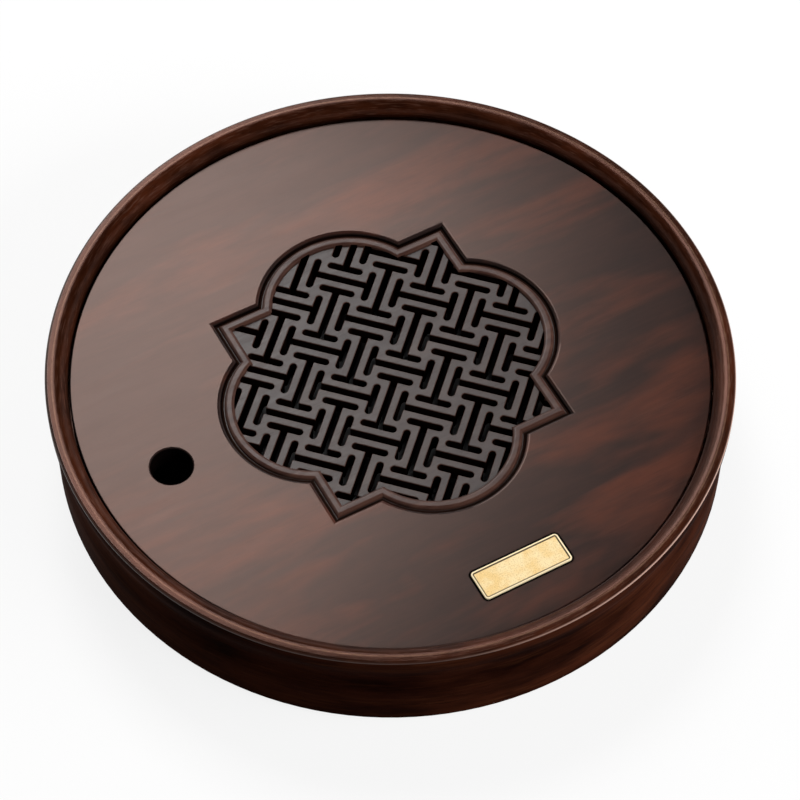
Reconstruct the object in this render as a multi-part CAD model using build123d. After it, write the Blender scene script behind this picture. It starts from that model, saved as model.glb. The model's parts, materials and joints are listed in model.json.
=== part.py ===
from build123d import *
import os
from math import ceil, hypot

# Round tea tray: a drum with a lift-out carved panel over a lift-out water liner.
# Millimetres. The origin is the middle of the underside, on the table. +Z is up, -Y is the
# front, where the plaque is, and the finger hole is on the left, at -X.

# Drum: turned wall and rim
drum_radius = 163.7           # outside of the wall, from its foot to the belly
neck_draw = 0.9               # how far the seam of wall and rim lies inside that
rim_swell = 1.7               # how far the widest part of the rim stands outside it
drum_height = 57.0            # foot of the wall to the land on top of the rim
rim_height = 20.0             # seam to the land
belly_height = 21.0           # foot of the wall to where it starts to draw in
bulge_drop = 3.8              # land down to the widest part of the rim
foot_round = 2.0              # rounded lower edge of the wall
edge_round = 1.4              # rounded outer edge of the land
spigot_lap = 7.0              # how far the wall's upper end is cut back for the rim's spigot
joint_fit = 0.15              # glue room round a spigot or a board in its rebate

# Rim, inside
land_width = 3.5              # top of the rim, from its outer side to its rounded inner side
well_depth = 7.5              # land down to the top of the panel
inner_round = 7.0             # rounded inner side of the rim
ledge_width = 6.9             # ledge that carries the panel, from the foot of that round
ledge_lip = 2.0               # how far the ledge stands inside the wall's bore
ledge_thickness = 6.0

# Panel
panel_gap = 0.6               # play between the panel's edge and the rim
panel_thickness = 12.0
panel_round = 0.9             # softened top edge
panel_chamfer = 0.6           # lower edge
finger_hole_radius = 10.2
finger_hole_inset = 37.0      # panel's edge to the middle of the hole
finger_hole_round = 0.7

# Quatrefoil field, measured to the outer edge of its groove
field_margin = 68.4           # panel's edge to the crown of a lobe
tip_margin = 64.92            # panel's edge to a tip between two lobes
lobe_count = 4
lobe_radius = 44.4
field_edge_round = 1.9
groove_width = 1.5
groove_depth = 2.0
bead_width = 5.0
bead_drop = 0.2               # bead's top below the panel's top
bead_round = 1.65
pocket_depth = 1.9            # lattice's face below the panel's top
flange_reach = 8.0            # how far the grille board reaches under the panel
flange_thickness = 5.0

# Lattice of I-shaped slots, at 45 degrees to the grain
lattice_pitch = 21.06
slot_width = 3.5
stem_share = 1.335            # length of an I between its bars' centre lines, by the pitch
bar_share = 0.845             # whole length of a bar, by the pitch
lattice_shift_along = 3.5     # pattern's centre from the tray's axis, along the -45 degree line
lattice_shift_across = 2.8    # and along the +45 degree line
slot_reach = 1.6              # how far the slots run on under the bead
slot_ease = 0.35              # chamfer round the slots in the lattice's face
smallest_slot_share = 2.0     # least area of a cut-off slot, by the slot's width squared

# Plaque
plaque_length = 46.0
plaque_width = 16.0
plaque_thickness = 1.0
plaque_corner = 1.8
plaque_border = 1.1
plaque_field_depth = 0.3
plaque_ease = 0.2             # chamfer along both sides of the border
plaque_inset = 28.3           # panel's edge to the middle of the plaque
plaque_recess = 0.5
plaque_gap = 0.3
plaque_pin_radius = 0.9
plaque_pin_length = 2.5
plaque_pin_spacing = 34.0
pin_fit = 0.05

# Battens under the panel
batten_gap = 1.2              # grille board's edge to a batten
batten_width = 9.0
batten_thickness = 6.0
batten_chamfer = 1.0
batten_play = 1.0             # batten's end to the ledge
batten_screw_spacing = 72.0
batten_screw_count = 3
batten_screw_bite = 7.0       # length of the screw in the panel

# Base board and feet
foot_lift = 3.0               # foot of the wall above the table
base_recess = 1.5             # base board's underside above the foot of the wall
base_thickness = 8.0
rebate_width = 7.0            # rebate in the wall that takes the base board
base_chamfer = 0.6
base_screw_count = 8
base_screw_bite = 11.0        # length of the screw in the wall
rubber_foot_count = 4
rubber_foot_radius = 12.0
rubber_foot_inset = 22.0      # wall's bore to the middle of a foot
rubber_foot_chamfer = 1.2
foot_screw_sink = 1.6         # head's face above the foot's underside
foot_screw_bite = 6.1         # length of the screw in the base board

# Water liner
liner_thickness = 1.8
liner_play = 1.2              # lip to the ledge
liner_headroom = 1.5          # lip to the battens
liner_lip_width = 5.0
liner_draft_width = 1.6       # how far the wall leans out over its height
liner_round = 6.0
liner_rib_height = 0.8
liner_rib_width = 2.4
liner_rib_radii_shares = (0.36, 0.72)   # by the radius of the liner's floor

# Countersunk wood screws
screw_head_radius = 2.9
screw_shank_radius = 1.5
screw_head_depth = 1.7
screw_tip_length = 2.4
screw_fit = 0.06

overrun = 1.0                 # how far a cutter runs past the face that it starts from
quarter_turn = 90
half_quarter = 45
full_turn = 360

# Radii and places that follow
neck_radius = drum_radius - neck_draw
rim_radius = drum_radius + rim_swell
land_radius = rim_radius - land_width
rim_bore_radius = land_radius - inner_round
ledge_radius = rim_bore_radius - ledge_width
drum_bore_radius = ledge_radius + ledge_lip
spigot_radius = drum_bore_radius + spigot_lap
rebate_radius = drum_bore_radius + rebate_width
panel_radius = rim_bore_radius - panel_gap
finger_hole_place = panel_radius - finger_hole_inset
plaque_place = panel_radius - plaque_inset
lobe_place = panel_radius - field_margin - lobe_radius
tip_place = panel_radius - tip_margin
field_half_side = tip_place / hypot(1, 1)
batten_place = lobe_place + lobe_radius + flange_reach + batten_gap + batten_width / 2
base_screw_place = drum_bore_radius + rebate_width / 2
rubber_foot_place = drum_bore_radius - rubber_foot_inset
bead_outer = -groove_width
bead_inner = bead_outer - bead_width

# Heights and lengths that follow
foot_z = foot_lift
land_z = foot_z + drum_height
seam_z = land_z - rim_height
belly_z = foot_z + belly_height
bulge_z = land_z - bulge_drop
panel_z = land_z - well_depth
ledge_z = panel_z - panel_thickness
ledge_under_z = ledge_z - ledge_thickness
base_under_z = foot_z + base_recess
base_z = base_under_z + base_thickness
batten_under_z = ledge_z - batten_thickness
liner_top_z = batten_under_z - liner_headroom
pocket_z = panel_z - pocket_depth
groove_z = panel_z - groove_depth
bead_z = panel_z - bead_drop
flange_z = ledge_z + flange_thickness
base_screw_length = base_thickness + base_screw_bite
batten_screw_length = batten_thickness + batten_screw_bite
foot_screw_length = base_under_z - foot_screw_sink + foot_screw_bite


def turned(outline):
    """Turns a closed outline of radius and height about the tray's upright axis."""
    return revolve(Plane.XZ * make_face(outline), Axis.Z)


def ogee(upper, lower):
    """Two tangent arcs that leave both ends upright."""
    middle = ((upper[0] + lower[0]) / 2, (upper[1] + lower[1]) / 2)
    return TangentArc(upper, middle, tangent=(0, -1)) + TangentArc(lower, middle, tangent=(0, 1))


def disc(radius, low, high):
    return extrude(Plane.XY.offset(low) * Circle(radius), high - low)


def slab(sketch, low, high):
    return extrude(Plane.XY.offset(low) * sketch, high - low)


def quatrefoil(grow):
    """The field's outline, moved outward by grow: a square joined with four lobes."""
    side = 2 * (field_half_side + grow)
    lobes = PolarLocations(lobe_place, lobe_count) * Circle(lobe_radius + grow)
    return Rectangle(side, side) + lobes


# Screws

def screw(length):
    """A countersunk screw that points up, with its head's face at zero."""
    return turned(Polyline(
        (0, 0),
        (screw_head_radius, 0),
        (screw_shank_radius, screw_head_depth),
        (screw_shank_radius, length - screw_tip_length),
        (0, length),
        close=True,
    ))


def screw_hole(length):
    """The room that a screw takes, open below the head's face."""
    reach = length + screw_fit
    return turned(Polyline(
        (0, -overrun),
        (screw_head_radius + screw_fit, -overrun),
        (screw_head_radius + screw_fit, 0),
        (screw_shank_radius + screw_fit, screw_head_depth),
        (screw_shank_radius + screw_fit, reach - screw_tip_length),
        (0, reach),
        close=True,
    ))


def base_screw_places():
    turn = full_turn / base_screw_count
    places = PolarLocations(base_screw_place, base_screw_count, start_angle=turn / 2)
    return [Pos(0, 0, base_under_z) * place for place in places]


def foot_places():
    turn = full_turn / rubber_foot_count
    return list(PolarLocations(rubber_foot_place, rubber_foot_count, start_angle=turn / 2))


def batten_screw_places():
    places = GridLocations(2 * batten_place, batten_screw_spacing, 2, batten_screw_count)
    return [Pos(0, 0, batten_under_z) * place for place in places]


def at_each(places, shape):
    return [place * shape for place in places]


# Drum

def rim_ring():
    outer = Line((rim_radius, bulge_z), (rim_radius, land_z))
    outer += Line((rim_radius, land_z), (land_radius, land_z))
    round_z = land_z - inner_round
    outer += RadiusArc((land_radius, land_z), (rim_bore_radius, round_z), -inner_round)
    inner = Polyline(
        (rim_bore_radius, round_z),
        (rim_bore_radius, ledge_z),
        (ledge_radius, ledge_z),
        (ledge_radius, ledge_under_z),
        (spigot_radius, ledge_under_z),
        (spigot_radius, seam_z),
        (neck_radius, seam_z),
    )
    side = ogee((rim_radius, bulge_z), (neck_radius, seam_z))
    section = make_face(outer + inner + side)
    outer_corner = section.vertices().group_by(Axis.Y)[-1].sort_by(Axis.X)[-1]
    section = fillet(outer_corner, edge_round)
    return revolve(Plane.XZ * section, Axis.Z)


def drum_wall():
    inner = Polyline(
        (neck_radius, seam_z),
        (spigot_radius + joint_fit, seam_z),
        (spigot_radius + joint_fit, ledge_under_z),
        (drum_bore_radius, ledge_under_z),
        (drum_bore_radius, base_z),
        (rebate_radius, base_z),
        (rebate_radius, foot_z),
        (drum_radius, foot_z),
        (drum_radius, belly_z),
    )
    section = make_face(inner + ogee((neck_radius, seam_z), (drum_radius, belly_z)))
    foot_corner = section.vertices().group_by(Axis.Y)[0].sort_by(Axis.X)[-1]
    section = fillet(foot_corner, foot_round)
    wall = revolve(Plane.XZ * section, Axis.Z)
    return wall - at_each(base_screw_places(), screw_hole(base_screw_length))


def base_board():
    board = disc(rebate_radius - joint_fit, base_under_z, base_z)
    board = chamfer(board.edges().group_by(Axis.Z)[0], base_chamfer)
    board -= at_each(base_screw_places(), screw_hole(base_screw_length))
    foot_screw_z = Pos(0, 0, foot_screw_sink)
    return board - at_each(foot_places(), foot_screw_z * screw_hole(foot_screw_length))


def rubber_foot():
    """A foot on the axis, from the table up to the base board."""
    foot = disc(rubber_foot_radius, 0, base_under_z)
    foot = chamfer(foot.edges().group_by(Axis.Z)[0], rubber_foot_chamfer)
    well = disc(screw_head_radius + screw_fit, -overrun, foot_screw_sink)
    return foot - well - Pos(0, 0, foot_screw_sink) * screw_hole(foot_screw_length)


# Water liner

def water_liner():
    lip = ledge_radius - liner_play
    top = lip - liner_lip_width
    foot = top - liner_draft_width
    outer = Polyline(
        (0, base_z),
        (foot, base_z),
        (top, liner_top_z - liner_thickness),
        (lip, liner_top_z - liner_thickness),
        (lip, liner_top_z),
        (top - liner_thickness, liner_top_z),
        (foot - liner_thickness, base_z + liner_thickness),
        (0, base_z + liner_thickness),
        close=True,
    )
    section = make_face(outer)
    lower = section.vertices().group_by(Axis.Y)[0].sort_by(Axis.X)[-1]
    section = fillet(lower, liner_round)
    floor_z = base_z + liner_thickness
    upper = section.vertices().filter_by_position(Axis.Y, floor_z, floor_z).sort_by(Axis.X)[-1]
    section = fillet(upper, liner_round - liner_thickness)
    pan = revolve(Plane.XZ * section, Axis.Z)
    for share in liner_rib_radii_shares:
        middle = share * foot
        rib = Circle(middle + liner_rib_width / 2) - Circle(middle - liner_rib_width / 2)
        pan += slab(rib, floor_z, floor_z + liner_rib_height)
    return pan


# Panel and what it carries

def top_panel():
    board = disc(panel_radius, ledge_z, panel_z)
    board = fillet(board.edges().group_by(Axis.Z)[-1], panel_round)
    board = chamfer(board.edges().group_by(Axis.Z)[0], panel_chamfer)
    hole = Pos(-finger_hole_place, 0) * Circle(finger_hole_radius)
    board -= slab(hole, ledge_z - overrun, panel_z + overrun)
    board -= slab(quatrefoil(0), ledge_z - overrun, panel_z + overrun)
    board -= slab(quatrefoil(flange_reach), ledge_z - overrun, flange_z)
    rims = board.faces().sort_by(Axis.Z)[-1].inner_wires()
    hole_rim, field_rim = rims.sort_by(SortBy.LENGTH)
    board = fillet(hole_rim.edges(), finger_hole_round)
    field_rim = board.faces().sort_by(Axis.Z)[-1].inner_wires().sort_by(SortBy.LENGTH)[-1]
    board = fillet(field_rim.edges(), field_edge_round)
    board -= plaque_seat()
    return board - at_each(batten_screw_places(), screw_hole(batten_screw_length))


def lattice_slots():
    """The I-shaped slots of the lattice, cut off a little way under the bead."""
    half_stem = stem_share * lattice_pitch / 2
    bar = SlotOverall(bar_share * lattice_pitch, slot_width, rotation=quarter_turn)
    letter = Rectangle(2 * half_stem, slot_width)
    letter += [Pos(-half_stem, 0) * bar, Pos(half_stem, 0) * bar]
    reach = ceil(max(tip_place, lobe_place + lobe_radius) / lattice_pitch)
    along = Rot(0, 0, -half_quarter)
    field = quatrefoil(bead_inner + slot_reach)
    slots = []
    for row in range(-reach, reach + 1):
        for column in range(-reach, reach + 1):
            turn = quarter_turn * ((row + column) % 2)
            x = lattice_shift_along + column * lattice_pitch
            y = lattice_shift_across + row * lattice_pitch
            place = along * Pos(x, y) * Rot(0, 0, turn)
            slots += (place * letter & field).faces()
    return [slot for slot in slots if slot.area > smallest_slot_share * slot_width**2]


def slot_cutter(slot):
    """Cuts one slot, wider where it meets the lattice's face."""
    mouth = Pos(0, 0, pocket_z - slot_ease) * slot
    flare = extrude(mouth, slot_ease, dir=(0, 0, 1), taper=-half_quarter)
    return slab(slot, ledge_z - overrun, pocket_z + overrun) + flare


def lattice_grille():
    board = slab(quatrefoil(flange_reach - joint_fit), ledge_z, flange_z)
    board += slab(quatrefoil(-joint_fit), flange_z, groove_z)
    bead = slab(quatrefoil(bead_outer), groove_z, bead_z)
    bead -= slab(quatrefoil(bead_inner), groove_z, bead_z)
    bead = fillet(bead.edges().group_by(Axis.Z)[-1], bead_round)
    board += bead
    board -= slab(quatrefoil(bead_inner), pocket_z, bead_z + overrun)
    return board - [slot_cutter(slot) for slot in lattice_slots()]


def plaque_plate(grow):
    return RectangleRounded(
        plaque_length + 2 * grow, plaque_width + 2 * grow, plaque_corner + grow
    )


def plaque_pins(radius, low, high):
    middle = Pos(0, -plaque_place, low)
    pin = extrude(Circle(radius), high - low)
    return [middle * place * pin for place in GridLocations(plaque_pin_spacing, 0, 2, 1)]


def plaque_seat():
    """The shallow recess and pin holes that the plaque sits in."""
    floor = panel_z - plaque_recess
    recess = Pos(0, -plaque_place) * plaque_plate(plaque_gap)
    pin_floor = floor - plaque_pin_length - pin_fit
    pins = plaque_pins(plaque_pin_radius + pin_fit, pin_floor, panel_z)
    return [slab(recess, floor, panel_z + overrun), *pins]


def plaque():
    floor = panel_z - plaque_recess
    top = floor + plaque_thickness
    plate = slab(Pos(0, -plaque_place) * plaque_plate(0), floor, top)
    field = Pos(0, -plaque_place) * plaque_plate(-plaque_border)
    plate -= slab(field, top - plaque_field_depth, top + overrun)
    plate = chamfer(plate.edges().group_by(Axis.Z)[-1], plaque_ease)
    return plate + plaque_pins(plaque_pin_radius, floor - plaque_pin_length, floor)


def batten(side):
    """A bar across the grain whose ends follow the ledge. The side is -1 or 1."""
    reach = ledge_radius - batten_play
    bar = Rectangle(batten_width, 2 * reach)
    outline = Pos(side * batten_place, 0) * bar & Circle(reach)
    body = slab(outline, batten_under_z, ledge_z)
    body = chamfer(body.edges().group_by(Axis.Z)[0], batten_chamfer)
    return body - at_each(batten_screw_places(), screw_hole(batten_screw_length))


def write(name, shape):
    solids = Compound(children=list(shape)) if isinstance(shape, list) else shape
    export_step(solids, f"parts/{name}.step")


os.makedirs("parts", exist_ok=True)
write("rim_ring", rim_ring())
write("drum_wall", drum_wall())
write("base_board", base_board())
write("base_screws", at_each(base_screw_places(), screw(base_screw_length)))
foot_names = ("back_right", "back_left", "front_left", "front_right")
for name, place in zip(foot_names, foot_places()):
    write(f"foot_{name}", place * rubber_foot())
sunk_screw = Pos(0, 0, foot_screw_sink) * screw(foot_screw_length)
write("foot_screws", at_each(foot_places(), sunk_screw))
write("water_liner", water_liner())
write("top_panel", top_panel())
write("lattice_grille", lattice_grille())
write("plaque", plaque())
write("batten_left", batten(-1))
write("batten_right", batten(1))
write("batten_screws", at_each(batten_screw_places(), screw(batten_screw_length)))
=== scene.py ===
import json
from math import asin, cos, degrees, pi, radians, sin

import bmesh
import bpy
from mathutils import Matrix, Vector
from mathutils.geometry import tessellate_polygon

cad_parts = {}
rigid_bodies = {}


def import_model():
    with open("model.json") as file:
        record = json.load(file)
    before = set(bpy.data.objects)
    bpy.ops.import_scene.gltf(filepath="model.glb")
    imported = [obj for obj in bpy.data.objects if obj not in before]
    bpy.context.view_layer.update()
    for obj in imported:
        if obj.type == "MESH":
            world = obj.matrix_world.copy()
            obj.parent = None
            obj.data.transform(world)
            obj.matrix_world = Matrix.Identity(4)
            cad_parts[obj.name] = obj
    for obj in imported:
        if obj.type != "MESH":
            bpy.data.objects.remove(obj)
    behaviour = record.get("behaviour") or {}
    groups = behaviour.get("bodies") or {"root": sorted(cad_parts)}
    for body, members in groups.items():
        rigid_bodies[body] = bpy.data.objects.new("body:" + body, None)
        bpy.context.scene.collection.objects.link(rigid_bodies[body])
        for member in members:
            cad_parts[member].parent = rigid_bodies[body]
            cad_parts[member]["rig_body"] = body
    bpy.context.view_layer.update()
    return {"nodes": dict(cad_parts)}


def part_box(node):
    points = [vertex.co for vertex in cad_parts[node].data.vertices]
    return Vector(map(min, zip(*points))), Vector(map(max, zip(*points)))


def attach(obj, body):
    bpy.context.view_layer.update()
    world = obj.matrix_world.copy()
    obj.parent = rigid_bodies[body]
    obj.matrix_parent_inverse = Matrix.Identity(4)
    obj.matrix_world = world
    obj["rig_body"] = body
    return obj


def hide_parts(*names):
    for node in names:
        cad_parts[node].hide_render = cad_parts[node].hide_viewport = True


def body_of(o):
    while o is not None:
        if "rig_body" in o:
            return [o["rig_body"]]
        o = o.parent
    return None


# The looks of a round tea tray in dark lacquered wood. Metres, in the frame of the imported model:
# the origin is the middle of the underside, +Z is up and the plaque is at the front, at -Y.

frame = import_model()
nodes = frame["nodes"]
panel_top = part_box("top_panel")[1].z

# Camera at the photograph's angle
camera_azimuth = radians(-29.149)
camera_elevation = radians(56.181)
camera_roll = radians(0.557)
camera_distance = 1.412
camera_aim = Vector((-0.0049, -0.0184, panel_top))
camera_lens = 133.05
camera_sensor = 36.0
camera_reach = 50.0

# Studio light
world_level = 0.08
lamp_distance = 2.2
key_direction = Vector((0.140, 0.563, 0.814))
key_edge = Vector((0.81, 0.59, 0.0))       # direction that its width runs along
key_size = (0.80, 0.75)
key_radiance = 15.0
low_direction = Vector((0.0, 0.82, 0.57))
low_edge = Vector((1.0, 0.0, 0.0))
low_size = (1.55, 0.62)
low_radiance = 3.2
side_direction = Vector((0.557, -0.663, 0.500))
side_edge = Vector((0.85, 0.45, -0.275))
side_size = (2.0, 0.80)
side_radiance = 8.8
backdrop_radius = 6.0
backdrop_height = 3.0
backdrop_steps = 96

# Sizes of the pieces that are made here
rim_height = 0.020
rim_draw = 0.0026
land_width = 0.0035
inner_round = 0.007
edge_round = 0.0014
bulge_drop = 0.0038
ledge_width = 0.0069
panel_thickness = 0.012
spigot = 0.157
pocket_depth = 0.0020         # lattice's face below the panel's top
face_fade = 0.00006           # height over which the lattice's tone turns into the bead's
dull_fade = 0.0003
facet_turn = 17               # degrees, half the turn of the small facet along the land's edge
facet_inset = 0.00006
inner_steps = 24              # faces across the rim's inner round
edge_steps = 5                # across each half of the land's rounded edge
side_steps = 8                # across each bend of the rim's side
rim_steps = 360               # round the rim
lobe_place = 0.0415           # axis to the middle of a lobe of the quatrefoil
lobe_radius = 0.0444
square_half = 0.0632          # half the side of the square whose corners are the tips
quirk_width = 0.0013          # flat between the bead and the panel
quirk_inside = 0.8            # share of that width at which its tone is full
plaque_border = 0.0011
plaque_border_fade = 0.0003
plaque_corner = 0.0018
step_line = 0.00045           # half width of the dark line along the plaque's border, painted shade of its step with some patina
step_core = 0.4               # share of the line that is fully dark
recess_line = 0.0013          # width of the painted shadow line round the plaque
recess_core = 0.7
panel_line = 0.0009           # width of the painted shadow line along the panel's edge
panel_line_depth = 0.0008
dark_depth = 0.0004           # the walls of cuts are dark with painted shade from here down
matt_depth = 0.0012           # and the panel's are matt from here down
edge_margin = 0.0012          # the walls of cuts are dark with painted shade, but not this near the board's outer edge
screw_head = 0.0029
screw_shank = 0.0015
screw_head_depth = 0.0017
screw_tip = 0.0024
screw_sides = 40
recess_reach = 0.0017         # length of a cross recess's arm from the head's middle
recess_arm = 0.0003           # half width of the arm
recess_deep = 0.0011
recess_taper = 0.55
inner_shade = 0.003           # height of the painted shade at the foot of the rim's inner side
# height of the painted highlight on the rim's outer edge
edge_highlight_height = panel_top + 0.0065
edge_highlight_width = 0.0006           # half width of the painted highlight on the rim's outer edge
highlight_start, highlight_end = -0.06, 0.05      # the painted highlight grows from here on the left to here
arris_line_width = 0.0005
pale_line_core = 0.4               # share of the width of the pale edge lines, wear and painted highlight, that is at full strength
arris_line_floor = 0.058            # the edge is pale above this, partly as wear and partly as painted highlight
crease_angle = 35             # degrees

lattice_top = panel_top - pocket_depth

floor_colour = (0.95, 0.95, 0.95, 1.0)
floor_bounce = (0.2, 0.2, 0.2, 1.0)
floor_glow = 0.85


# Lacquered wood: the noise levels between which each of its masks goes from none to full
mottle_low, mottle_high = 0.38, 0.62
patch_low, patch_high = 0.46, 0.62
broken_low, broken_high, broken_least = 0.36, 0.56, 0.35
streak_low, streak_high = 0.52, 0.72
streaked_low, streaked_high, streaked_least = 0.38, 0.60, 0.25
pore_low, pore_high = 0.30, 0.42
gloss_low, gloss_high = 0.30, 0.70

mottle_along, mottle_across = 4.0, 3.5     # times as many as the patches
fine_along, fine_across = 2.5, 2.6         # times as many as the streaks
mottle_shift, streak_shift, fine_shift = 4.4, 7.7, 1.9
patch_bend = 0.5
pore_strength = 0.5
pore_share = 0.3              # of the dark tone, in a pore
smoother, rougher = 0.04, 0.06
pore_height, streak_height = -0.6, 0.5
wood_bump = 0.12
bump_height = 0.0002

bead_grain = (40, 300)        # features a metre, along and across the grain
bead_low, bead_high, bead_shift = 0.35, 0.65, 2.2
arris_grain = (300, 60)
arris_low, arris_high, arris_least, arris_shift = 0.30, 0.60, 0.40, 5.0
wear_and_highlight_strength = 0.35

panel_seed = 1813.88
hole_shade_share = 0.15             # of the wood's tone, in the painted shade on the walls of the panel's cuts
slot_shade_share = 0.1
inner_share = 0.2             # of the rim's tone, in the painted shade at the foot of its inner side

# Gilt and plain surfaces
stipple_scale = 1500.0
stipple_low, stipple_high, stipple_share = 0.34, 0.52, 0.35
stipple_bump, stipple_height = 0.35, 0.0003
cloud_scale = 160.0
cloud_low, cloud_high = 0.35, 0.65
step_strength = 0.95
mottle_share = 0.72           # of the plain colour, in its darker places
mottle_ratio = 20             # fine features in a broad one
plain_low, plain_high = 0.30, 0.70
plain_rough_low, plain_rough_high = 0.25, 0.75
plain_smoother, plain_rougher = 0.05, 0.07


def camera_axes():
    """The camera's right, up and backward directions."""
    level = Vector((cos(camera_azimuth), sin(camera_azimuth), 0))
    forward = Vector((-sin(camera_azimuth), cos(camera_azimuth), 0))
    back = -forward * cos(camera_elevation) + Vector((0, 0, sin(camera_elevation)))
    rise = back.cross(level)
    right = level * cos(camera_roll) + rise * sin(camera_roll)
    up = rise * cos(camera_roll) - level * sin(camera_roll)
    return right, up, back


def arc(centre, radius, start, end, steps):
    """Points of an arc as radius and height. Angles in degrees, from outward towards up."""
    turns = [radians(start + (end - start) * i / steps) for i in range(steps + 1)]
    return [(centre[0] + radius * cos(t), centre[1] + radius * sin(t)) for t in turns]


def link(thing):
    bpy.context.scene.collection.objects.link(thing)
    return thing


def place_camera():
    right, up, back = camera_axes()
    data = bpy.data.cameras.new("camera")
    data.lens = camera_lens
    data.sensor_width = camera_sensor
    data.clip_end = camera_reach
    camera = link(bpy.data.objects.new("camera", data))
    turn = Matrix((right, up, back)).transposed()
    camera.matrix_world = Matrix.Translation(camera_aim + back * camera_distance) @ turn.to_4x4()
    bpy.context.scene.camera = camera


def softbox(name, direction, edge, size, radiance):
    """A rectangular lamp of a given radiance that faces the tray."""
    data = bpy.data.lights.new(name, "AREA")
    data.shape = "RECTANGLE"
    data.size, data.size_y = size
    data.energy = radiance * pi * size[0] * size[1]
    lamp = link(bpy.data.objects.new(name, data))
    away = direction.normalized()
    across = away.cross(edge).normalized()
    turn = Matrix((across.cross(away), across, away)).transposed()
    lamp.matrix_world = Matrix.Translation(away * lamp_distance) @ turn.to_4x4()
    return lamp


def add(tree, kind, inputs=None, **settings):
    """Adds a shader node. An input is a value or the socket that feeds it."""
    node = tree.nodes.new("ShaderNode" + kind)
    for key, value in settings.items():
        setattr(node, key, value)
    for key, value in (inputs or {}).items():
        if isinstance(value, bpy.types.NodeSocket):
            tree.links.new(value, node.inputs[key])
        else:
            node.inputs[key].default_value = value
    return node


def new_tree(name):
    material = bpy.data.materials.new(name)
    material.use_nodes = True
    material.node_tree.nodes.clear()
    return material, material.node_tree


def output(tree, shader):
    add(tree, "OutputMaterial", {"Surface": shader})


def calculate(tree, operation, first, second=0.0, third=0.0, clamp=False):
    node = add(tree, "Math", {0: first, 1: second, 2: third}, operation=operation)
    node.use_clamp = clamp
    return node.outputs[0]


def mix_colour(tree, amount, first, second, blend="MIX"):
    node = add(tree, "Mix", data_type="RGBA", blend_type=blend)
    for key, value in ((0, amount), (6, first), (7, second)):
        if isinstance(value, bpy.types.NodeSocket):
            tree.links.new(value, node.inputs[key])
        else:
            node.inputs[key].default_value = value
    return node.outputs[2]


def spread(tree, value, low, high, start=0.0, end=1.0):
    """Maps low..high to start..end, held at both ends."""
    node = add(tree, "MapRange", {0: value, 1: low, 2: high, 3: start, 4: end})
    return node.outputs[0]


def grain_noise(tree, turned, along, across, detail=3.0, roughness=0.55, distortion=0.0, shift=0.0):
    """Noise drawn out along the grain. Along and across are in features a metre. The grain runs
    along X on a board, and round the axis on a turned piece."""
    place = add(tree, "TexCoord").outputs["Object"]
    split = add(tree, "SeparateXYZ", {0: place})
    x, y, z = split.outputs
    if turned:
        flat = add(tree, "VectorMath", {0: place, 1: (1, 1, 0)}, operation="MULTIPLY").outputs[0]
        radius = add(tree, "VectorMath", {0: flat}, operation="LENGTH").outputs["Value"]
        first = calculate(tree, "MULTIPLY", x, along)
        second = calculate(tree, "MULTIPLY", y, along)
        third = calculate(tree, "MULTIPLY", radius, across)
    else:
        first = calculate(tree, "MULTIPLY", x, along)
        second = calculate(tree, "MULTIPLY", y, across)
        third = calculate(tree, "MULTIPLY", z, across)
    height = calculate(tree, "MULTIPLY_ADD", z, across, shift)
    vector = add(tree, "CombineXYZ", {0: first, 1: second, 2: third}).outputs[0]
    inputs = {
        "Vector": vector, "W": height, "Scale": 1.0, "Detail": detail,
        "Roughness": roughness, "Distortion": distortion,
    }
    return add(tree, "TexNoise", inputs, noise_dimensions="4D").outputs[0]


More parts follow.
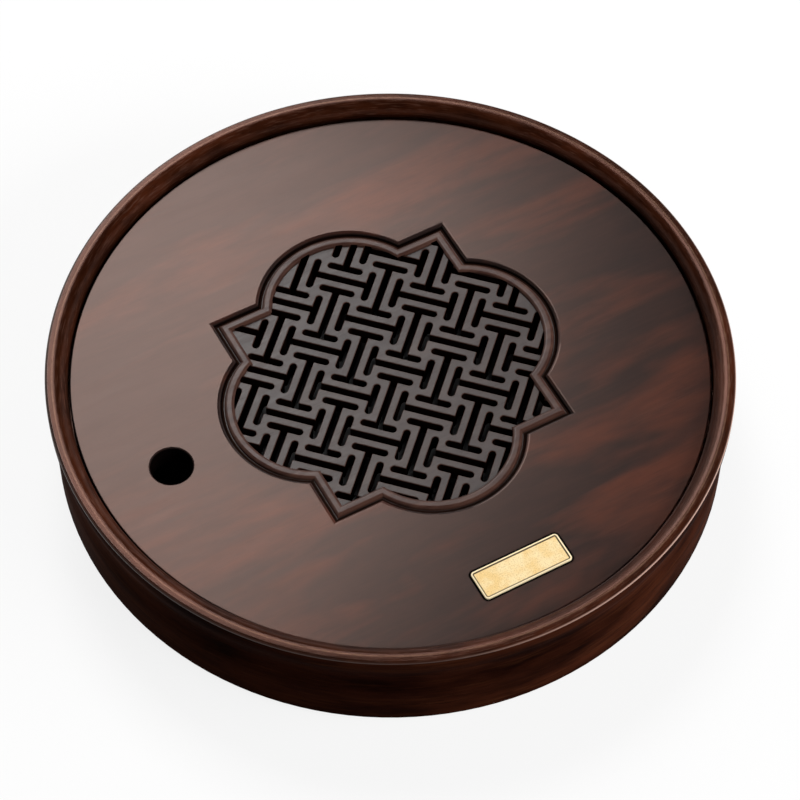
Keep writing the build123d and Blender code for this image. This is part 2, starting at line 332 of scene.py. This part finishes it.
def wood(name, tones, turned=False, patch=(8, 34), streak=(60, 1100), seed=0.0,
         gloss=0.24, specular=0.2, tint=(1.0, 0.72, 0.62, 1.0), line_share=0.6, soften=0.0,
         relief=1.0, tones_and_painted_light=(), dull=()):
    """Lacquered wood with soft red patches, short streaks and fine pores. The tones are dark,
    middle, red and light. Patch and streak are in features a metre, along and across the grain.
    Gloss is the roughness, soften widens the mottle's edges, and relief is how much pores and
    streaks show in the lacquer. Tones and painted light change the colour in turn: own tones, wear,
    painted shade and painted highlights. Dull holds masks of the places that are matt."""
    dark, middle, red, light = [(*tone, 1) for tone in tones]
    material, tree = new_tree(name)
    patches = grain_noise(tree, turned, *patch, detail=3.0, distortion=patch_bend, shift=seed)
    mottle = grain_noise(tree, turned, patch[0] * mottle_along, patch[1] * mottle_across,
                         detail=4.0, shift=seed + mottle_shift)
    streaks = grain_noise(tree, turned, *streak, detail=1.5, roughness=0.6,
                          shift=seed + streak_shift)
    fine = grain_noise(tree, turned, streak[0] * fine_along, streak[1] * fine_across,
                       detail=2.0, shift=seed + fine_shift)
    mottled = spread(tree, mottle, mottle_low - soften, mottle_high + soften)
    ground = mix_colour(tree, mottled, dark, middle)
    broken = spread(tree, mottle, broken_low - soften, broken_high + soften, broken_least, 1.0)
    redness = calculate(tree, "MULTIPLY", spread(tree, patches, patch_low, patch_high), broken)
    colour = mix_colour(tree, redness, ground, red)
    streaked = spread(tree, patches, streaked_low, streaked_high, streaked_least, 1.0)
    lines = spread(tree, streaks, streak_low, streak_high, 0.0, line_share)
    colour = mix_colour(tree, calculate(tree, "MULTIPLY", lines, streaked), colour, light)
    pore = spread(tree, fine, pore_low, pore_high, 1.0, 0.0)
    pore_tone = (*[level * pore_share for level in tones[0]], 1)
    pored = calculate(tree, "MULTIPLY", pore, pore_strength * relief)
    colour = mix_colour(tree, pored, colour, pore_tone)
    # the layers change the colour in turn: own tones, wear, painted shade and painted highlights
    for colour_layer in tones_and_painted_light:
        colour = colour_layer(tree, colour)
    rough = spread(tree, streaks, gloss_low, gloss_high,
                   gloss - smoother * relief, gloss + rougher * relief)
    level = specular
    for mask in dull:
        matt = mask(tree)
        rough = calculate(tree, "MAXIMUM", rough, matt)
        level = calculate(tree, "MULTIPLY", level, calculate(tree, "SUBTRACT", 1.0, matt))
    ridges = calculate(tree, "MULTIPLY", streaks, streak_height)
    height = calculate(tree, "MULTIPLY_ADD", pore, pore_height, ridges)
    bump = add(tree, "Bump", {
        "Height": height, "Strength": wood_bump * relief, "Distance": bump_height,
    })
    shader = add(tree, "BsdfPrincipled", {
        "Base Color": colour, "Roughness": rough, "Specular IOR Level": level,
        "Specular Tint": tint, "Normal": bump.outputs[0],
    })
    output(tree, shader.outputs[0])
    return material


def place_parts(tree):
    """The place's X, Y and Z, and its distance from the tray's axis."""
    place = add(tree, "TexCoord").outputs["Object"]
    flat = add(tree, "VectorMath", {0: place, 1: (1, 1, 0)}, operation="MULTIPLY").outputs[0]
    radius = add(tree, "VectorMath", {0: flat}, operation="LENGTH").outputs["Value"]
    return *add(tree, "SeparateXYZ", {0: place}).outputs, radius


def painted_shade_below(top, depth, share):
    """Painted shade: a colour layer that darkens a turned piece under a height, to a share of its
    tone at the depth.
    """
    def colour_layer(tree, colour):
        x, y, z, radius = place_parts(tree)
        fade = spread(tree, z, top - depth, top, 1.0, 0.0)
        shadow = mix_colour(tree, 1.0, colour, (share, share, share, 1), "MULTIPLY")
        return mix_colour(tree, fade, colour, shadow)
    return colour_layer


def warmer_off(height, tones):
    """A colour layer that gives what isn't at a height its own two tones."""
    def colour_layer(tree, colour):
        x, y, z, radius = place_parts(tree)
        grain = grain_noise(tree, False, *bead_grain, detail=4.0, shift=bead_shift)
        tone = mix_colour(tree, spread(tree, grain, bead_low, bead_high),
                          (*tones[0], 1), (*tones[1], 1))
        offset = calculate(tree, "ABSOLUTE", calculate(tree, "SUBTRACT", z, height))
        return mix_colour(tree, spread(tree, offset, face_fade / 2, face_fade), colour, tone)
    return colour_layer


def outside_bead(tree):
    """A mask of the flat between the bead and the quatrefoil opening's edge."""
    x, y, z, radius = place_parts(tree)
    along, across = calculate(tree, "ABSOLUTE", x), calculate(tree, "ABSOLUTE", y)
    place = add(tree, "CombineXYZ", {0: along, 1: across}).outputs[0]
    reach = calculate(tree, "SUBTRACT", calculate(tree, "MAXIMUM", along, across), square_half)
    for middle in ((lobe_place, 0, 0), (0, lobe_place, 0)):
        gap = add(tree, "VectorMath", {0: place, 1: middle}, operation="DISTANCE").outputs["Value"]
        reach = calculate(tree, "MINIMUM", reach, calculate(tree, "SUBTRACT", gap, lobe_radius))
    return spread(tree, reach, -quirk_width, -quirk_width * quirk_inside)


def toned(mask, tone):
    """A colour layer that gives what lies in a mask one tone."""
    return lambda tree, colour: mix_colour(tree, mask(tree), colour, (*tone, 1))


def worn_highlit_arris(arris, width, tone, strength):
    """A colour layer that lightens a turned edge, a little unevenly: partly wear, partly a painted
    highlight.
    """
    def colour_layer(tree, colour):
        x, y, z, radius = place_parts(tree)
        offset = calculate(tree, "ABSOLUTE", calculate(tree, "SUBTRACT", radius, arris))
        line = spread(tree, offset, width * pale_line_core, width, 1.0, 0.0)
        above = spread(tree, z, arris_line_floor - width, arris_line_floor)
        grain = grain_noise(tree, True, *arris_grain, detail=3.0, shift=arris_shift)
        uneven = spread(tree, grain, arris_low, arris_high, arris_least, 1.0)
        amount = calculate(tree, "MULTIPLY", calculate(tree, "MULTIPLY", line, above),
                           calculate(tree, "MULTIPLY", uneven, strength))
        return mix_colour(tree, amount, colour, (*tone, 1))
    return colour_layer


def painted_edge_highlight(tree, colour):
    """Painted highlight: a colour layer that makes the rim's outer edge pale along a thin line, in
    the place of the side lamp's reflection. It grows towards the right."""
    x, y, z, radius = place_parts(tree)
    offset = calculate(tree, "ABSOLUTE", calculate(tree, "SUBTRACT", z, edge_highlight_height))
    line = spread(tree, offset, edge_highlight_width * pale_line_core, edge_highlight_width, 1.0, 0.0)
    amount = calculate(tree, "MULTIPLY", line, spread(tree, x, highlight_start, highlight_end))
    return mix_colour(tree, amount, colour, (*edge_highlight_tone, 1))


def plaque_distance(tree):
    """How far the place lies outside the plaque's rounded outline, negative inside it."""
    low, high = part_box("plaque")
    middle, half = (low + high) / 2, (high - low) / 2
    x, y, z, radius = place_parts(tree)
    past = []
    for place, centre, reach in ((x, middle.x, half.x), (y, middle.y, half.y)):
        offset = calculate(tree, "ABSOLUTE", calculate(tree, "SUBTRACT", place, centre))
        past.append(calculate(tree, "SUBTRACT", offset, reach - plaque_corner))
    squares = [
        calculate(tree, "POWER", calculate(tree, "MAXIMUM", side, 0.0), 2.0) for side in past
    ]
    outside = calculate(tree, "SQRT", calculate(tree, "ADD", *squares))
    inside = calculate(tree, "MINIMUM", calculate(tree, "MAXIMUM", *past), 0.0)
    return calculate(tree, "SUBTRACT", calculate(tree, "ADD", outside, inside), plaque_corner)


def cut_walls(node, depth):
    """A mask of the walls of a board's cuts, from a depth under its top down to its underside."""
    low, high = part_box(node)

    def mask(tree):
        x, y, z, radius = place_parts(tree)
        top = high.z - depth
        deep = spread(tree, z, top - dull_fade, top, 1.0, 0.0)
        above = spread(tree, z, low.z, low.z + dull_fade)
        inside = spread(tree, radius, high.x - edge_margin, high.x - edge_margin / 2, 1.0, 0.0)
        return calculate(tree, "MULTIPLY", calculate(tree, "MULTIPLY", deep, above), inside)
    return mask


def painted_shade_where(mask, share):
    """Painted shade: a colour layer that darkens the wood in a mask, to a share of its tone."""
    def colour_layer(tree, colour):
        shadow = mix_colour(tree, 1.0, colour, (share, share, share, 1), "MULTIPLY")
        return mix_colour(tree, mask(tree), colour, shadow)
    return colour_layer


def seam_shadow_mask(tree):
    """A mask of the lines where the panel meets the plaque and the rim, where shadow is painted."""
    line = spread(tree, plaque_distance(tree), recess_line * recess_core, recess_line, 1.0, 0.0)
    x, y, z, radius = place_parts(tree)
    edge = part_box("top_panel")[1].x
    border = spread(tree, radius, edge - panel_line, edge - panel_line / 2)
    upper = spread(tree, z, panel_top - panel_line_depth, panel_top - panel_line_depth / 2)
    lines = calculate(tree, "MAXIMUM", line, border)
    return calculate(tree, "MULTIPLY", lines, upper)


def seam_shadow(tree, colour):
    """Painted shadow: a colour layer that darkens the wood along the panel's seams, where their
    gaps lie in shade.
    """
    return mix_colour(tree, seam_shadow_mask(tree), colour, (*seam_shadow_tone, 1))


def gilt():
    """Pale gilt with a fine stipple on the field, a paler border that is partly a painted
    highlight, and a dark line inside the raised border that is painted shade of its step with some
    patina.
    """
    material, tree = new_tree("plaque_gilt")
    inside = calculate(tree, "MULTIPLY", plaque_distance(tree), -1.0)
    place = add(tree, "TexCoord").outputs["Object"]
    dark, pale, border, pit, step_shade_tone = [(*tone, 1) for tone in gilt_tones]
    stipple = add(tree, "TexNoise", {"Vector": place, "Scale": stipple_scale, "Detail": 3.0})
    cloud = add(tree, "TexNoise", {"Vector": place, "Scale": cloud_scale, "Detail": 2.0})
    field = spread(tree, inside, plaque_border, plaque_border + plaque_border_fade)
    clouded = mix_colour(tree, spread(tree, cloud.outputs[0], cloud_low, cloud_high), dark, pale)
    pits = spread(tree, stipple.outputs[0], stipple_low, stipple_high, stipple_share, 0.0)
    pitted = mix_colour(tree, pits, clouded, pit)
    # the border's paler tone is partly a painted highlight
    gold = mix_colour(tree, field, border, pitted)
    # the dark line inside the border is painted shade of the step, with some patina
    step = calculate(tree, "ABSOLUTE", calculate(tree, "SUBTRACT", inside, plaque_border))
    line = spread(tree, step, step_line * step_core, step_line, step_strength, 0.0)
    gold = mix_colour(tree, line, gold, step_shade_tone)
    bump = add(tree, "Bump", {
        "Height": stipple.outputs[0], "Strength": stipple_bump, "Distance": stipple_height,
    })
    shader = add(tree, "BsdfPrincipled", {
        "Base Color": gold, "Roughness": 0.5, "Metallic": 0.0, "Specular IOR Level": 0.12,
        "Specular Tint": (1.0, 0.85, 0.5, 1.0), "Normal": bump.outputs[0],
    })
    output(tree, shader.outputs[0])
    return material


def plain(name, colour, roughness, metallic=0.0, grain=900, bump=0.05, specular=0.5):
    """An even surface with fine mottling."""
    material, tree = new_tree(name)
    place = add(tree, "TexCoord").outputs["Object"]
    fine = add(tree, "TexNoise", {"Vector": place, "Scale": grain, "Detail": 4.0}).outputs[0]
    broad = add(tree, "TexNoise", {"Vector": place, "Scale": grain / mottle_ratio, "Detail": 3.0})
    dark = tuple(level * mottle_share for level in colour)
    tone = mix_colour(tree, spread(tree, broad.outputs[0], plain_low, plain_high),
                      (*dark, 1), (*colour, 1))
    rough = spread(tree, fine, plain_rough_low, plain_rough_high,
                   roughness - plain_smoother, roughness + plain_rougher)
    bumps = add(tree, "Bump", {"Height": fine, "Strength": bump, "Distance": bump_height})
    shader = add(tree, "BsdfPrincipled", {
        "Base Color": tone, "Roughness": rough, "Metallic": metallic,
        "Specular IOR Level": specular, "Normal": bumps.outputs[0],
    })
    output(tree, shader.outputs[0])
    return material


def seen_rays(tree):
    """One for rays that show the surroundings: the camera's, and those off or through gloss."""
    path = add(tree, "LightPath").outputs
    seen = calculate(tree, "MAXIMUM", path["Is Camera Ray"], path["Is Glossy Ray"])
    return calculate(tree, "MAXIMUM", seen, path["Is Transmission Ray"])


def floor_material():
    """Pale floor that the camera and mirrors see as white, with the tray's shadow kept."""
    material, tree = new_tree("floor")
    seen = seen_rays(tree)
    glow = add(tree, "Emission", {"Color": (1, 1, 1, 1), "Strength": 1.0})
    matt = add(tree, "BsdfDiffuse", {"Color": mix_colour(tree, seen, floor_bounce, floor_colour)})
    share = calculate(tree, "MULTIPLY", seen, floor_glow)
    mixed = add(tree, "MixShader", {0: share, 1: matt.outputs[0], 2: glow.outputs[0]})
    output(tree, mixed.outputs[0])
    return material


def make_floor():
    """A round floor with a low pale wall round it, under a dim ceiling."""
    turns = [2 * pi * i / backdrop_steps for i in range(backdrop_steps)]
    low = [(backdrop_radius * cos(t), backdrop_radius * sin(t), 0) for t in turns]
    high = [(x, y, backdrop_height) for x, y, _ in low]
    count = backdrop_steps
    walls = [(i, (i + 1) % count, (i + 1) % count + count, i + count) for i in range(count)]
    data = bpy.data.meshes.new("floor")
    data.from_pydata(low + high, [], [tuple(range(count))] + walls)
    data.materials.append(floor_material())
    link(bpy.data.objects.new("floor", data))


def make_world():
    world = bpy.data.worlds.new("studio")
    world.use_nodes = True
    tree = world.node_tree
    tree.nodes.clear()
    dim = add(tree, "Background", {"Color": (1, 1, 1, 1), "Strength": world_level})
    add(tree, "OutputWorld", {"Surface": dim.outputs[0]})
    bpy.context.scene.world = world


def shade(data):
    """Smooth faces with crisp edges where the surface turns sharply."""
    data.shade_smooth()
    data.set_sharp_from_angle(angle=radians(crease_angle))


def stand_in(name, data, node):
    """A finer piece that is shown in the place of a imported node."""
    piece = link(bpy.data.objects.new(name, data))
    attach(piece, body_of(nodes[node])[0])
    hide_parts(node)
    return piece


def lathe(name, outline, steps, pick):
    """Turns a closed outline. Pick gives the number of a face's material by radius and height."""
    data = bpy.data.meshes.new(name)
    turns = [2 * pi * i / steps for i in range(steps)]
    points = [(r * cos(t), r * sin(t), z) for t in turns for r, z in outline]
    count = len(outline)
    faces = []
    for i in range(steps):
        here, there = i * count, (i + 1) % steps * count
        for j in range(count):
            k = (j + 1) % count
            faces.append((here + j, there + j, there + k, here + k))
    data.from_pydata(points, [], faces)
    for face in data.polygons:
        middle = face.center
        face.material_index = pick(middle.xy.length, middle.z)
    shade(data)
    return data


def land_edge(centre):
    """The land's outer edge: a rounded corner with a small flat facet in its middle."""
    upper = arc(centre, edge_round, 90, 45 + facet_turn, edge_steps)
    lower = arc(centre, edge_round, 45 - facet_turn, 0, edge_steps)
    start, end = Vector(upper[-1]), Vector(lower[0])
    step = (end - start).normalized() * facet_inset
    return upper + [tuple(start + step), tuple(end - step)] + lower


def rim_turned():
    """The rim ring. Its materials are the land with the inner side, the side and the edge."""
    low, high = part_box("rim_ring")
    outer, land = high.x, high.z
    top = outer - land_width
    bore = top - inner_round
    ledge_z = panel_top - panel_thickness
    ledge = bore - ledge_width
    neck, seam = outer - rim_draw, land - rim_height
    bulge = land - bulge_drop
    middle = (bulge + seam) / 2
    half, drop = (outer - neck) / 2, (bulge - seam) / 2
    sweep = (half**2 + drop**2) / (2 * half)
    turn = degrees(asin(drop / sweep))
    outline = arc((bore + inner_round, land - inner_round), inner_round, 180, 90, inner_steps)
    outline += land_edge((outer - edge_round, land - edge_round))
    outline += arc((outer - sweep, bulge), sweep, 0, -turn, side_steps)
    outline += arc((neck + sweep, seam), sweep, 180 - turn, 180, side_steps)[1:]
    outline += [(spigot, seam), (spigot, low.z), (ledge, low.z), (ledge, ledge_z), (bore, ledge_z)]

    def pick(radius, z):
        if z < land - edge_round:
            return int(radius > top)
        return 2 if radius > outer - edge_round else 0

    data = lathe("rim_turned", outline, rim_steps, pick)
    return stand_in("rim_turned", data, "rim_ring")


def add_screw(shape, place, low, high):
    """A countersunk screw that points up, with a cross recess in its head."""
    turns = [2 * pi * i / screw_sides for i in range(screw_sides)]
    corner = [(recess_reach, -recess_arm), (recess_reach, recess_arm), (recess_arm, recess_arm)]
    quarters = [(1, 0), (0, 1), (-1, 0), (0, -1)]
    cross = [(x * c - y * s, x * s + y * c) for c, s in quarters for x, y in corner]

    def ring(points, z):
        return [shape.verts.new(place + Vector((x, y, z))) for x, y in points]

    def circle(radius, z):
        return ring([(radius * cos(t), radius * sin(t)) for t in turns], z)

    def join(first, second):
        count = len(first)
        for i in range(count):
            j = (i + 1) % count
            shape.faces.new((first[i], first[j], second[j], second[i]))

    head = circle(screw_head, low)
    neck = circle(screw_shank, low + screw_head_depth)
    end = circle(screw_shank, high - screw_tip)
    join(head, neck)
    join(neck, end)
    tip = shape.verts.new(place + Vector((0, 0, high)))
    for i in range(screw_sides):
        shape.faces.new((end[i], end[(i + 1) % screw_sides], tip))
    mouth = ring(cross, low)
    deep = ring([(x * recess_taper, y * recess_taper) for x, y in cross], low + recess_deep)
    join(mouth, deep)
    for rings in ([head, mouth], [deep]):
        flat = [vertex for points in rings for vertex in points]
        for triangle in tessellate_polygon([[vertex.co for vertex in points] for points in rings]):
            shape.faces.new([flat[i] for i in triangle])


def screws(node, places):
    """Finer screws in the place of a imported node's."""
    low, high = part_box(node)
    name = node + "_cross"
    shape = bmesh.new()
    for place in places:
        add_screw(shape, place, low.z, high.z)
    bmesh.ops.recalc_face_normals(shape, faces=shape.faces)
    data = bpy.data.meshes.new(name)
    shape.to_mesh(data)
    shape.free()
    shade(data)
    return stand_in(name, data, node)


def ring_places(node, count):
    """The middles of screws spread round the axis."""
    turn = 2 * pi / count
    reach = (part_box(node)[1].x - screw_head) / cos(turn / 2)
    turns = [turn * (i + 0.5) for i in range(count)]
    return [Vector((reach * cos(t), reach * sin(t), 0)) for t in turns]


def row_places(node):
    """The middles of screws in two rows of three."""
    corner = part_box(node)[1]
    x, y = corner.x - screw_head, corner.y - screw_head
    return [Vector((x * side, y * step, 0)) for side in (-1, 1) for step in (-1, 0, 1)]


def dress(material, *names):
    for name in names:
        data = nodes[name].data
        data.materials.clear()
        data.materials.append(material)


# Tones of each wood, from dark to light: dark, middle, red and light
panel_tones = [
    (0.013, 0.0092, 0.0092), (0.024, 0.0125, 0.0107),
    (0.075, 0.022, 0.013), (0.12, 0.05, 0.03),
]
rim_tones = [
    (0.017, 0.0038, 0.0013), (0.035, 0.0087, 0.0032),
    (0.054, 0.0124, 0.0046), (0.105, 0.048, 0.033),
]
wall_tones = [
    (0.008, 0.0019, 0.0011), (0.035, 0.0088, 0.0042),
    (0.073, 0.019, 0.0083), (0.092, 0.030, 0.013),
]
grille_tones = [
    (0.040, 0.028, 0.026), (0.053, 0.037, 0.034),
    (0.062, 0.042, 0.036), (0.075, 0.056, 0.050),
]
hidden_tones = [
    (0.05, 0.022, 0.012), (0.085, 0.04, 0.02),
    (0.12, 0.06, 0.03), (0.15, 0.08, 0.045),
]
bead_tones = [(0.042, 0.0165, 0.012), (0.075, 0.034, 0.024)]
# painted shade on the flat between the bead and the panel
quirk_shade_tone = (0.014, 0.006, 0.004)
# painted shadow in the gaps round the plaque and along the panel's edge
seam_shadow_tone = (0.002, 0.0015, 0.0015)
# pale tone of the land's inner edge, partly wear and partly painted highlight
wear_and_highlight_tone = (0.30, 0.17, 0.11)
# tone of the painted highlight on the rim's outer edge
edge_highlight_tone = (0.62, 0.38, 0.30)

# Tones of the plaque: the field's darker and paler places, the border, paler partly as a painted
# highlight, the pits of the stipple and the line inside the border, painted shade with some patina
gilt_tones = [
    (0.94, 0.67, 0.30), (1.0, 0.80, 0.46), (1.0, 0.84, 0.54), (0.50, 0.26, 0.08),
    (0.05, 0.025, 0.01),
]
liner_colour = (0.02, 0.02, 0.021)
rubber_colour = (0.018, 0.018, 0.018)
steel_colour = (0.6, 0.6, 0.62)

bpy.context.scene.view_settings.view_transform = "Standard"
place_camera()
make_world()
make_floor()
softbox("key", key_direction, key_edge, key_size, key_radiance)
softbox("low", low_direction, low_edge, low_size, low_radiance)
side = softbox("side", side_direction, side_edge, side_size, side_radiance)
side.visible_glossy = False   # its image in the panel would hide the wood, seen from behind

# The panel, with painted shade on the walls of its cuts and painted shadow along its seams, both
# dark and matt
# painted shade in the panel's cuts, such as the finger hole, and painted shadow along its seams
panel_painted_shade = [painted_shade_where(cut_walls("top_panel", dark_depth), hole_shade_share), seam_shadow]
panel_dull = (cut_walls("top_panel", matt_depth), seam_shadow_mask)
panel_wood = wood("panel_wood", panel_tones, streak=(26, 900), seed=panel_seed, line_share=0.09,
                  specular=0.215, tint=(1.0, 0.68, 0.58, 1.0), soften=0.07, relief=0.35,
                  tones_and_painted_light=panel_painted_shade, dull=panel_dull)
dress(panel_wood, "top_panel")

# The grille, with a warmer bead, and painted shade on the flat outside it and on the walls of the
# slots
face_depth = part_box("lattice_grille")[1].z - lattice_top
slot_walls = cut_walls("lattice_grille", face_depth + dark_depth)
grille_tone_and_shade = [
    warmer_off(lattice_top, bead_tones),
    # painted shade on the flat outside the bead, down in its recess
    toned(outside_bead, quirk_shade_tone),
    # painted shade on the walls of the slots
    painted_shade_where(slot_walls, slot_shade_share),
]
grille_wood = wood("grille_wood", grille_tones, gloss=0.36, tint=(1, 1, 1, 1),
                   tones_and_painted_light=grille_tone_and_shade, dull=(slot_walls, outside_bead))
dress(grille_wood, "lattice_grille")

# The rim and the wall
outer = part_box("rim_ring")[1].x
rim_wear_highlight_and_shade = [
    # pale line along the land's inner edge, partly wear and partly a painted highlight
    worn_highlit_arris(outer - land_width, arris_line_width, wear_and_highlight_tone, wear_and_highlight_strength),
    # painted shade at the foot of the rim's inner side
    painted_shade_below(panel_top + inner_shade, inner_shade, inner_share),
]
rim_grain = {"turned": True, "patch": (14, 60), "streak": (140, 1500)}
rim_wood = wood("rim_wood", rim_tones, **rim_grain, gloss=0.2, specular=0.165,
                tint=(1.0, 0.52, 0.4, 1.0), tones_and_painted_light=rim_wear_highlight_and_shade)
wall_wood = wood("wall_wood", wall_tones, turned=True, patch=(6, 20), streak=(40, 500),
                 gloss=0.5, specular=0.001)
# the rim's outer edge, with a painted highlight along it
edge_wood = wood("edge_wood", rim_tones, **rim_grain, gloss=0.25, specular=0.3,
                 tint=(1.0, 0.76, 0.68, 1.0), relief=0.3, tones_and_painted_light=[painted_edge_highlight])
rim = rim_turned()
for material in (rim_wood, wall_wood, edge_wood):
    rim.data.materials.append(material)
dress(wall_wood, "drum_wall")

# Everything else
dress(wood("hidden_wood", hidden_tones, gloss=0.6), "base_board", "batten_left", "batten_right")
dress(gilt(), "plaque")
dress(plain("liner_plastic", liner_colour, 0.45), "water_liner")
feet = [name for name in nodes if name.startswith("foot_") and name != "foot_screws"]
dress(plain("foot_rubber", rubber_colour, 0.8), *feet)
steel = plain("screw_steel", steel_colour, 0.3, metallic=1.0)
for piece in (
    screws("base_screws", ring_places("base_screws", 8)),
    screws("foot_screws", ring_places("foot_screws", 4)),
    screws("batten_screws", row_places("batten_screws")),
):
    piece.data.materials.append(steel)
